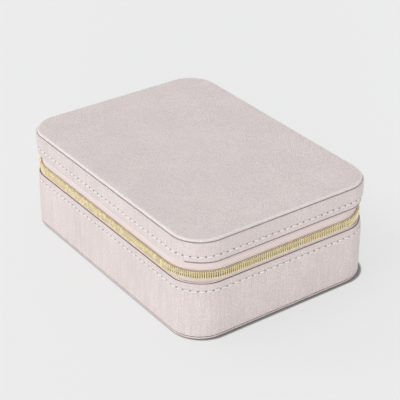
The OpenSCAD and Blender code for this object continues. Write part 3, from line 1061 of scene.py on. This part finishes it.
def divider_wrap(low, high, soft):
    """A divider wrapped in velvet: a rounded box whose upper edge waves a little along its length.

    Its two sides draw in by a fixed amount and swell gently, as waves along it and up it."""
    points = rounded_box(low, high, soft, turn=6, along=90)
    axis = 0 if high[0] - low[0] > high[1] - low[1] else 1
    along, across = points[..., axis], points[..., 1 - axis]
    wave = 1 + np.sin(along * 210 + 0.6) * np.sin(along * 77)
    points[..., 2] -= smooth(high[2] - 6 * MM, high[2], points[..., 2]) * 0.22 * MM * wave
    swell = 0.10 * MM * np.sin(along * 160) * np.sin(points[..., 2] * 300)
    side = np.sign(across - (low + high)[1 - axis] / 2)
    points[..., 1 - axis] -= side * (0.12 * MM + swell)
    return points


def roll_form(low, high):
    """A ring roll before it is filled: a rounded box whose top is a half circle, on a fine grid.

    Along the roll the section shrinks over the ends as a quarter circle of the soft radius does."""
    half, soft = (high[1] - low[1]) / 2, 3.0 * MM
    phi = np.linspace(0, math.pi / 2, 9)
    ends = np.stack([soft * (1 - np.cos(phi)), soft * (1 - np.sin(phi))], -1)
    middle = np.linspace(low[0] + soft, high[0] - soft, 84)[1:-1]
    x = np.concatenate([low[0] + ends[:, 0], middle, high[0] - ends[::-1, 0]])
    shrink = np.concatenate([ends[:, 1], 0 * middle, ends[::-1, 1]])[:, None] * 0.9
    crown = np.linspace(0, math.pi, 19)
    side = np.linspace(low[2] + 1 * MM, high[2] - half, 11)[:-1]
    flank = np.full(10, half)
    under = np.linspace(-0.9, 0.9, 9) * half
    y = np.concatenate([flank, half * np.cos(crown), -flank, under])
    z = np.concatenate([side, high[2] - half + half * np.sin(crown), side[::-1], 0 * under + low[2]])
    scale_y, scale_z = 1 - shrink / half, 1 - shrink / (high[2] - low[2]) * 1.2
    points = together(x[:, None], (low[1] + high[1]) / 2 + y * scale_y, low[2] + (z - low[2]) * scale_z)
    return np.ascontiguousarray(points)


VELVET_CLOTH = {"quality": 6, "mass": 0.25, "tension_stiffness": 12, "compression_stiffness": 12,
                "shear_stiffness": 5, "bending_stiffness": 0.3, "shrink_min": -0.04, "use_pressure": True}


def filled(points, cap, pressure):
    """Fills a wrapped grid like a cushion, by cloth simulation, and returns the grid where it came to.

    The grid is made ten times larger for it. Its cloth is cut 4 % too large, so that it wrinkles, and
    its underside is held. No point may move further than cap."""
    bigger, last = 10, 20
    n, m = points.shape[:2]
    piece = solid("filling", points * bigger)
    held = piece.vertex_groups.new(name="held")
    low = points[..., 2].min()
    held.add(np.flatnonzero(points[..., 2].ravel() < low + 1.5 * MM).tolist(), 1.0, "REPLACE")
    cloth = piece.modifiers.new("cloth", "CLOTH")
    settings = VELVET_CLOTH | {"uniform_pressure_force": pressure, "vertex_group_mass": "held"}
    for key, value in settings.items():
        setattr(cloth.settings, key, value)
    cloth.settings.effector_weights.gravity = 0
    cloth.point_cache.frame_end = last
    for step in range(1, last + 1):
        bpy.context.scene.frame_set(step)
    posed = piece.evaluated_get(bpy.context.evaluated_depsgraph_get())
    after = np.empty(3 * len(posed.data.vertices), np.float32)
    posed.data.vertices.foreach_get("co", after)
    moved = after.reshape(-1, 3)[:n * m].reshape(n, m, 3).astype(float) / bigger - points
    bpy.context.scene.frame_set(1)
    bpy.data.objects.remove(piece)
    size = np.linalg.norm(moved, axis=-1, keepdims=True)
    if not np.isfinite(size).all():
        raise RuntimeError("the filling of a ring roll did not settle")
    return points + moved * np.minimum(1, cap / np.maximum(size, 1e-9))


class CASE_OT_linings(Operator):
    """Make the velvet linings of both walls, the floor pad and the lid's lining"""

    bl_idname = "case.linings"
    bl_label = "Linings"

    def execute(self, context):
        for body, low, high in (("base", LINING_LOW, LINING_HIGH), ("lid", LID_LINING_LOW, LID_LINING_HIGH)):
            lining = wall_lining(f"{body}_lining", low, high, body == "base")
            dress(lining, velvet(), body, f"{body}_wall_lining")
        floor = pad("floor_pad", FLOOR_LOW, FLOOR_HIGH, True, DIVIDERS, 1.2 * MM)
        dress(floor, velvet(), "base", "base_floor_pad")
        ceiling = pad("lid_pad", LID_PAD_LOW, LID_PAD_HIGH, False, ["necklace_strip"], 0.9 * MM)
        dress(ceiling, velvet(), "lid", "lid_lining_pad")
        return {"FINISHED"}


class CASE_OT_dividers(Operator):
    """Make the four velvet dividers"""

    bl_idname = "case.dividers"
    bl_label = "Dividers"

    def execute(self, context):
        for node in DIVIDERS:
            wrap = solid(f"{node}_wrap", divider_wrap(*low_high(node), 1.35 * MM))
            dress(wrap, velvet(), "base", node)
        return {"FINISHED"}


def fitted(roll, own_low, radius):
    """A ring roll whose left end gives way to the wall's corner, whose radius inside is given.

    It gives way most at the end, and not at all 24 mm from it, as an S curve of the distance."""
    past = np.clip(-roll[..., 1] - (HALF_D - sizes().corner_r), 0, radius * 0.999)
    wall_x = -(HALF_W - sizes().corner_r) - np.sqrt(radius ** 2 - past ** 2)
    give = 1 - smooth(own_low[0], own_low[0] + 24 * MM, roll[..., 0])
    roll[..., 0] += np.maximum(wall_x - own_low[0], 0) * give
    return roll


class CASE_OT_ring_rolls(Operator):
    """Make the five velvet ring rolls"""

    bl_idname = "case.ring_rolls"
    bl_label = "Ring rolls"

    def execute(self, context):
        names = sorted(n for n in frame["nodes"] if n.startswith("ring_roll"))
        low, high = low_high(names[1])
        roll = filled(roll_form(low, high), 0.42 * MM, 5.0)
        turned = np.ascontiguousarray(roll[::-1] * [-1, 1, 1] + [low[0] + high[0], 0, 0])
        radius = sizes().corner_r - (LINING_INSET + PILE + 0.5 * MM)
        for number, node in enumerate(names):
            own_low, own_high = low_high(node)
            points = (roll if number % 2 else turned).copy()
            points[..., 1] += (own_low[1] + own_high[1] - low[1] - high[1]) / 2
            piece = solid(f"roll_{number + 1}", fitted(points, own_low, radius))
            dress(piece, velvet(), "base", node)
        return {"FINISHED"}


# Hinge ----------------------------------------------------------------------------------------------

def bridge_strip(name, half, y_out, y_in, z_low, z_high, bulge):
    """A thin strip across the hinge: rows up its height, each a flat loop across its width.

    Between the walls' edges both faces stand out by a bulge, as a bell curve of the height."""
    z = np.linspace(z_low, z_high, 56)
    x = np.linspace(-half, half, 30)
    stand = bulge * bell(z - ZIP_Z, 3.2 * MM)[:, None]
    edge = 0.25 * (y_out - y_in) * (np.abs(x) > half - 0.5 * MM)
    outer = together(x[None], y_out - edge[None] + stand, z[:, None])
    inner = together(x[None, ::-1], y_in + edge[None] + stand, z[:, None])
    return solid(name, np.concatenate([outer, inner], 1))


def bend_at_hinge(piece):
    """Bakes a piece's placing into its mesh."""
    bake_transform(piece)


class CASE_OT_hinge(Operator):
    """Make the hinge strip and the velvet that covers it inside, both reaching from the base to the lid"""

    bl_idname = "case.hinge"
    bl_label = "Hinge"

    def execute(self, context):
        strip = bridge_strip("hinge_strip", STRIP_HIGH[0] + 0.3 * MM, STRIP_HIGH[1], STRIP_LOW[1],
                             STRIP_LOW[2] + 1 * MM, LID_STRIP_HIGH[2] - 1 * MM, 0.35 * MM)
        dress(strip, leathercloth(), None, ["base_hinge_strip", "lid_hinge_strip"])
        bend_at_hinge(strip)
        back = HALF_D - LINING_INSET - 0.85 * MM
        gusset = bridge_strip("hinge_lining", STRIP_HIGH[0] + 2 * MM, back, back - 0.5 * MM,
                              BASE_HIGH[2] - 4 * MM, LID_LOW[2] + 4 * MM, 0.0)
        dress(gusset, velvet(), None, None)
        bend_at_hinge(gusset)
        return {"FINISHED"}


# Slider, pull and stops -----------------------------------------------------------------------------

def lathe(profile, centre, sides):
    """A turned form: a profile of radius and height carried round an upright axis."""
    angle = np.arange(sides) * TURN / sides
    radius, height = profile[:, :1], profile[:, 1:]
    return np.array(centre) + together(radius * np.cos(angle), radius * np.sin(angle), height)


# The slider rides on the left side, where x grows towards the inside.
PLATE_FRONT = TAPE_INSET - COIL_T - 0.2 * MM - HALF_W
PLATE_BACK = TAPE_INSET + TAPE_T + 0.2 * MM - HALF_W


def slider_blocks(low, high):
    """The slider's plates, web, lip and ribs as rounded boxes. The plates grip the coil and the tape
    between them, and the front one has a low rib near its upper and lower edge."""
    y0, y1 = low[1], high[1]
    face = PLATE_FRONT - 1.2 * MM
    boxes = [
        ([face, y0, low[2]], [PLATE_FRONT, y1, high[2]], 0.42 * MM),
        ([PLATE_BACK, y0, low[2]], [PLATE_BACK + 1.2 * MM, y1, high[2]], 0.42 * MM),
        ([PLATE_FRONT - 0.2 * MM, y1 - 3.2 * MM, ZIP_Z - 0.2 * MM],
         [PLATE_BACK + 0.2 * MM, y1 - 0.1 * MM, ZIP_Z + 0.2 * MM], 0.15 * MM),
        ([PLATE_FRONT - 0.4 * MM, y0 + 0.2 * MM, low[2]],
         [PLATE_FRONT + COIL_T, y1 - 0.2 * MM, low[2] + 0.6 * MM], 0.25 * MM),
    ]
    for z in (high[2] - 1.5 * MM, low[2] + 0.7 * MM):
        boxes.append(([face - 0.28 * MM, y0 + 1.2 * MM, z],
                      [face + 0.4 * MM, y1 - 1.2 * MM, z + 0.8 * MM], 0.28 * MM))
    return np.stack([rounded_box(*box) for box in boxes])


def slider_bridge(bar_x, middle):
    """The slider's bridge: a round bar whose two ends bend as a square down to the front plate."""
    t = np.linspace(-1, 1, 33)
    foot = np.clip(np.abs(t) * 1.9 - 0.9, 0, 1)
    x = bar_x + (PLATE_FRONT - 0.8 * MM - bar_x) * foot ** 2
    y = middle + 3.3 * MM * flattened(np.clip(1.9 * t, -1, 1), 0.9)
    return tube("slider_bridge", together(x, y, ZIP_Z), (0, 0, 1), 0.6 * MM, 14)


def pull_eye(bar_x, middle, width):
    """The pull's eye: a ring round the bridge's bar, whose section is a box with soft corners."""
    turn = np.linspace(0, TURN, 40, endpoint=False)[:, None]
    angle = np.arange(14) * TURN / 14
    out = 1.4 * MM + 0.4 * MM * flattened(np.cos(angle), 0.6)
    side = width / 2 * flattened(np.sin(angle), 0.5)
    eye = together(bar_x + out * np.cos(turn), middle + side, ZIP_Z + out * np.sin(turn))
    return surface("pull_eye", eye, wrap=True, ring=True)


def pull_tab(bar_x, middle, foot, half_wide):
    """The pull's tab: rows down its length, each a flattened ring.

    Its half width grows from the neck as an S curve of the height and closes at the foot as a half
    circle. Its face is sunk within a rim, by an S curve of the distance in from the rim."""
    top, neck, half_thick = ZIP_Z - 1.5 * MM, 1.9 * MM, 0.65 * MM
    z = top - (top - foot) * (1 - np.cos(np.linspace(0, math.pi, 70))) / 2
    widened = 1 - smooth(ZIP_Z - 8.4 * MM, ZIP_Z - 4.4 * MM, z)
    below = np.clip((foot + half_wide - z) / half_wide, 0, 0.9999)
    half = np.minimum(neck + (half_wide - neck) * widened, half_wide * np.sqrt(1 - below ** 2))[:, None]
    z = z[:, None]
    angle = np.arange(36) * TURN / 36
    round_y, round_x = flattened(np.cos(angle), 0.55), flattened(np.sin(angle), 0.35)
    sunk = smooth(0.9 * MM, 1.5 * MM, half * (1 - np.abs(round_y))) * (z < ZIP_Z - 9 * MM)
    sunk = sunk * smooth(foot + 0.9 * MM, foot + 1.6 * MM, z)
    thick = half_thick * np.minimum(1, np.sqrt(half / half_thick)) - 0.22 * MM * sunk
    return solid("pull_tab", together(bar_x + thick * round_x, middle + half * round_y, z))


class CASE_OT_slider(Operator):
    """Make the zip's slider, its bridge and its pull"""

    bl_idname = "case.slider"
    bl_label = "Slider and pull"

    def execute(self, context):
        low, high = low_high("zip_slider")
        pull_low, pull_high = low_high("zip_pull")
        bar_x, middle = low[0] + 0.6 * MM, (low[1] + high[1]) / 2
        pull_w = pull_high[1] - pull_low[1]
        body = solid("slider_body", slider_blocks(low, high))
        for piece in (body, slider_bridge(bar_x, middle)):
            dress(piece, brass(), "slider", "zip_slider")
        eye = pull_eye(bar_x, middle, pull_w - 2.2 * MM)
        for piece in (eye, pull_tab(bar_x, middle, pull_low[2], pull_w / 2)):
            dress(piece, brass(), "pull", "zip_pull")
        return {"FINISHED"}


class CASE_OT_stops(Operator):
    """Make the metal stops at the ends of both coils"""

    bl_idname = "case.stops"
    bl_label = "Zip stops"

    def execute(self, context):
        inner = STRIP_HIGH[0] + 1.0 * MM
        for body in ("base", "lid"):
            low, high = low_high(f"{body}_zip_stops")
            wide = high[0] - inner
            boxes = [rounded_box([x, *low[1:]], [x + wide, *high[1:]], 0.5 * MM) for x in (-high[0], inner)]
            stops = solid(f"{body}_stops", np.stack(boxes))
            dress(stops, brass(), body, f"{body}_zip_stops")
        return {"FINISHED"}


# Inside of the lid ----------------------------------------------------------------------------------

def pocket_depth(u, v):
    """How far the pocket hangs under the lining, from 0 to 1: full at the mouth, falling to 0 at the far
    edge and at both sides. Gathers run in from the mouth and fade out, as waves across the pocket."""
    form = np.sqrt(np.clip(1 - v ** 3, 0, 1)) * np.sqrt(np.clip(1 - np.abs(u) ** 10, 0, 1))
    waves = np.sin(u * 82 + 2 * np.sin(u * 7)) * np.sin(u * 19 + 1) * np.exp(-2.6 * v)
    return form * (0.90 + 0.07 * waves)


def strip_stitches(name, low, high, y):
    """A row of stitches along the necklace strip. Each bulges under it as a half ellipse."""
    t = np.linspace(-1, 1, 7)
    along = t * 1.3 * MM
    x = np.linspace(low[0] + 4 * MM, high[0] - 4 * MM, 40)[:, None] + along
    path = together(x, y, low[2] + 0.1 * MM - 0.3 * MM * np.sqrt(1 - t ** 2))
    return tube(name, path, (0, 1, 0), 0.25 * MM, 6, uv_grid(along, np.linspace(0, MM, 7)))


def necklace_hooks(places, middle_y, top, low):
    """The hooks: round wires that run down, bend in a quarter circle, and turn up again at their tips."""
    wire, bend_r, tip_r = 0.8 * MM, 2.2 * MM, 1.5 * MM
    reach, foot = low[1] + wire, low[2] + wire
    shank = np.array([[middle_y, top + 0.3 * MM], [middle_y, top - 1 * MM]])
    bend = arc((middle_y - bend_r, foot + bend_r), bend_r, 0, -1, 9)
    tip = arc((reach + 1.3 * MM, foot + tip_r), tip_r, -1, -1.7, 6)
    side = np.concatenate([shank, bend, tip])
    radius = np.full(len(side), wire)
    radius[-2:] *= [0.95, 0.6]
    path = together(places[:, None], side[:, 0], side[:, 1])
    return tube("hooks", path, (1, 0, 0), radius[None], 12)


def pocket_cloth(low, high, cloth_t):
    """The gathered pocket: a sheet that hangs under the lid's lining, with its two faces cloth_t apart."""
    edge = [0.975, 0.99, 0.998, 1]
    u = np.concatenate([[-1, -0.998, -0.99, -0.975], np.linspace(-0.955, 0.955, 420), edge])[:, None]
    v = 1 - np.linspace(1, 0, 40)[None] ** 1.4
    drop = (high[2] - low[2]) * pocket_depth(u, v)
    y = low[1] + (high[1] - low[1]) * v
    outer = together(u * high[0], y, high[2] - drop)
    lifted = np.maximum(drop[:, ::-1] - cloth_t, -cloth_t)
    inner = together(u * (high[0] - cloth_t), y[:, ::-1], high[2] - lifted)
    return solid("pocket", np.concatenate([outer, inner], 1))


def pocket_band(low, high, cloth_t):
    """The elastic band along the pocket's mouth: a flattened ring that follows the gathers and ripples."""
    w = np.linspace(-0.985, 0.985, 520)[:, None]
    mouth = (high[2] - low[2]) * pocket_depth(w, 0 * w)
    ripple = 0.18 * MM * np.sin(w * 300)
    angle = np.arange(16) * TURN / 16
    y = low[1] + 2.5 * MM + 2.4 * MM * flattened(np.cos(angle), 0.5)
    z = high[2] - mouth + cloth_t + 0.35 * MM + ripple + 0.4 * MM * flattened(np.sin(angle), 0.7)
    return solid("pocket_band", together(w * high[0] * 0.995, y, z))


class CASE_OT_lid_fittings(Operator):
    """Make the necklace strip, its hooks and the gathered pocket"""

    bl_idname = "case.lid_fittings"
    bl_label = "Lid fittings"

    def execute(self, context):
        low, high = low_high("necklace_strip")
        strip = solid("hook_strip", rounded_box(low, high + [0, 0, 0.6 * MM], 0.7 * MM, along=40))
        dress(strip, leathercloth(), "lid", "necklace_strip")
        for edge, y in (("front", low[1] + 1.6 * MM), ("rear", high[1] - 1.6 * MM)):
            row = strip_stitches(f"hook_strip_{edge}_stitches", low, high, y)
            dress(row, sewing_thread(), "lid", None)

        count, middle_y = 6, (low[1] + high[1]) / 2
        places = (np.arange(count) + 0.5 - count / 2) * (high[0] - low[0]) / count
        hooks = necklace_hooks(places, middle_y, low[2], low_high("necklace_hooks")[0])
        dress(hooks, brass(), "lid", "necklace_hooks")
        dome = np.array([[0.1, -0.75], [1.0, -0.70], [1.8, -0.5], [2.4, -0.15], [2.5, 0.1], [2.4, 0.3]]) * MM
        rivets = solid("hook_rivets", np.stack([lathe(dome, (x, middle_y, low[2]), 24) for x in places]))
        dress(rivets, brass(), "lid", None)

        low, high = low_high("lid_pocket")
        cloth_t = 0.55 * MM
        pocket = pocket_cloth(low, high, cloth_t)
        dress(pocket, velvet(), "lid", "lid_pocket")
        dress(pocket_band(low, high, cloth_t), velvet(), "lid", "pocket_elastic")
        return {"FINISHED"}


# Carried-over nodes ---------------------------------------------------------------------------------

class CASE_OT_kept_nodes(Operator):
    """Give the frame's own boards, which nothing replaces, their finish"""

    bl_idname = "case.kept_nodes"
    bl_label = "Boards"

    def execute(self, context):
        for row in frame["record"]["subparts"]:
            if row["material_slot"] == "board":
                piece = frame["nodes"][row["node"]]
                piece.data.materials.clear()
                piece.data.materials.append(grey_board())
        return {"FINISHED"}


# Stage ----------------------------------------------------------------------------------------------

# Each light's azimuth and elevation in degrees, its strength, its spread in degrees, and whether it
# gives highlights. An azimuth is counted like the camera's.
LIGHTS = {
    "key_light": (-5, 50, 0.28, 30, True),
    "side_light": (-54, 30, 0.18, 20, True),
    "front_light": (50, 4, 1.36, 20, False),
}
SKY_TINT = (0.985, 0.99, 1.0, 1.0)
SKY_BRIGHTEST_TOWARDS = (-0.64, -0.14, 1.0)
SKY_DARK, SKY_LIGHT = 0.06, 0.90
FLOOR_SHARE, FLOOR_GLOW = 0.36, 0.606
# The floor's painted contact shadow: its fade is centred off the case by this shift, and runs between these
# distances past the corner radius.
SHADE_SHIFT = (0.4 * MM, 1.4 * MM, 0)
SHADE_START, SHADE_END = 0.3 * MM, 1.6 * MM


def direction(azimuth, elevation):
    """A unit vector from the origin. At an azimuth of 0 it points to the front, and then turns right."""
    level = math.cos(elevation)
    return Vector((math.sin(azimuth) * level, -math.cos(azimuth) * level, math.sin(elevation)))


def place_light(name, azimuth, elevation, strength, spread_angle, glossy):
    """A far, broad light that shines to the origin. One that isn't glossy gives no highlights."""
    lamp = bpy.data.lights.new(name, "SUN")
    lamp.energy = strength
    lamp.angle = math.radians(spread_angle)
    holder = bpy.data.objects.new(name, lamp)
    towards = direction(math.radians(azimuth), math.radians(elevation))
    holder.rotation_euler = towards.to_track_quat("Z", "Y").to_euler()
    holder.visible_glossy = glossy
    bpy.context.scene.collection.objects.link(holder)


def place_camera(stage):
    """The camera: it looks at the origin from its azimuth and elevation, then moves aside and up unturned."""
    back = direction(stage.azimuth, stage.elevation)
    right = Vector((math.cos(stage.azimuth), math.sin(stage.azimuth), 0))
    up = back.cross(right)
    camera = bpy.data.cameras.new("camera")
    camera.lens = stage.lens
    camera.sensor_width = 36
    camera.clip_end = 50
    holder = bpy.data.objects.new("camera", camera)
    holder.location = back * stage.distance + right * stage.aside + up * stage.above
    holder.rotation_euler = Matrix((right, up, back)).transposed().to_euler()
    bpy.context.scene.collection.objects.link(holder)
    bpy.context.scene.camera = holder


@made_once("floor")
def floor_finish(name):
    """A plain pale floor that glows evenly, and less and less close to the case's outline, as a painted
    contact shadow.

    The distance to the outline is the length of what is left of x and y past the corner centres."""
    tint = bpy.context.scene.case_stage.floor
    look = Finish(name, Roughness=0.9, Specular_IOR_Level=0.1, Base_Color=rgba(tint, FLOOR_SHARE),
                  Emission_Color=rgba(tint))
    away = look.on_piece()
    corner = (HALF_W - sizes().corner_r, HALF_D - sizes().corner_r, 1.0)
    for operation, second in (("SUBTRACT", SHADE_SHIFT), ("ABSOLUTE", None), ("SUBTRACT", corner),
                              ("MAXIMUM", (0, 0, 0))):
        inputs = {0: away} if second is None else {0: away, 1: second}
        away = look.add("ShaderNodeVectorMath", inputs, operation=operation).outputs[0]
    away = look.add("ShaderNodeVectorMath", {0: away}, operation="LENGTH").outputs["Value"]
    start, end = sizes().corner_r + SHADE_START, sizes().corner_r + SHADE_END
    look.drive("Emission Strength", look.spread(away, start, end, 0.0, FLOOR_GLOW))
    return look.material


def studio_light():
    """The light from all sides: brightest from one direction, and falling evenly to its opposite."""
    world = bpy.data.worlds.new("studio")
    world.use_nodes = True
    nodes, links = world.node_tree.nodes, world.node_tree.links
    sky = nodes["Background"]
    sky.inputs["Color"].default_value = SKY_TINT
    facing = nodes.new("ShaderNodeVectorMath")
    facing.operation = "DOT_PRODUCT"
    facing.inputs[1].default_value = SKY_BRIGHTEST_TOWARDS
    strength = nodes.new("ShaderNodeMapRange")
    for key, value in (("From Min", -1.0), ("To Min", SKY_DARK), ("To Max", SKY_LIGHT)):
        strength.inputs[key].default_value = value
    links.new(nodes.new("ShaderNodeTexCoord").outputs["Generated"], facing.inputs[0])
    links.new(facing.outputs["Value"], strength.inputs["Value"])
    links.new(strength.outputs[0], sky.inputs["Strength"])
    return world


class CASE_OT_stage(Operator):
    """Set up the camera, the floor and the light"""

    bl_idname = "case.stage"
    bl_label = "Stage"

    def execute(self, context):
        place_camera(context.scene.case_stage)
        corners = np.array([[[-4, -4, 0], [4, -4, 0]], [[-4, 4, 0], [4, 4, 0]]], float)
        floor = surface("floor", corners, closed=False)
        floor.data.materials.append(floor_finish())
        context.scene.world = studio_light()
        for name, settings in LIGHTS.items():
            place_light(name, *settings)
        context.scene.view_settings.view_transform = "Standard"
        context.scene.view_settings.look = "None"
        return {"FINISHED"}


# Registration ---------------------------------------------------------------------------------------

OPERATORS = (CASE_OT_stage, CASE_OT_kept_nodes, CASE_OT_wall_covers, CASE_OT_panels, CASE_OT_stitching,
             CASE_OT_zip_tapes, CASE_OT_zip_coils, CASE_OT_stops, CASE_OT_slider, CASE_OT_hinge,
             CASE_OT_linings, CASE_OT_dividers, CASE_OT_ring_rolls, CASE_OT_lid_fittings)


class CASE_PT_sidebar(Panel):
    """Sizes, colours and buttons of the case"""

    bl_idname = "CASE_PT_sidebar"
    bl_label = "Jewellery Case"
    bl_space_type = "VIEW_3D"
    bl_region_type = "UI"
    bl_category = "Jewellery Case"

    def draw(self, context):
        """Every property, group by group, and then every button."""
        for group in GROUPS:
            box = self.layout.box()
            settings = getattr(context.scene, group)
            for key in settings.bl_rna.properties.keys():
                if key not in ("rna_type", "name"):
                    box.prop(settings, key)
        for operator in OPERATORS:
            self.layout.operator(operator.bl_idname)


GROUPS = {"case_sizes": CaseSizes, "case_stitching": StitchSizes, "case_zip": ZipSizes,
          "case_colours": CaseColours, "case_stage": StageSettings}


def register():
    """Registers the classes and hangs the property groups on the scene."""
    for made in (*GROUPS.values(), *OPERATORS, CASE_PT_sidebar):
        bpy.utils.register_class(made)
    for name, group in GROUPS.items():
        setattr(bpy.types.Scene, name, PointerProperty(type=group))


def unregister():
    """Takes the property groups off the scene and unregisters the classes."""
    for name in GROUPS:
        delattr(bpy.types.Scene, name)
    for made in (CASE_PT_sidebar, *reversed(OPERATORS), *GROUPS.values()):
        bpy.utils.unregister_class(made)


def main():
    """Makes every piece and the stage."""
    register()
    for operator in OPERATORS:
        group, name = operator.bl_idname.split(".")
        getattr(getattr(bpy.ops, group), name)()


if __name__ == "__main__":
    main()
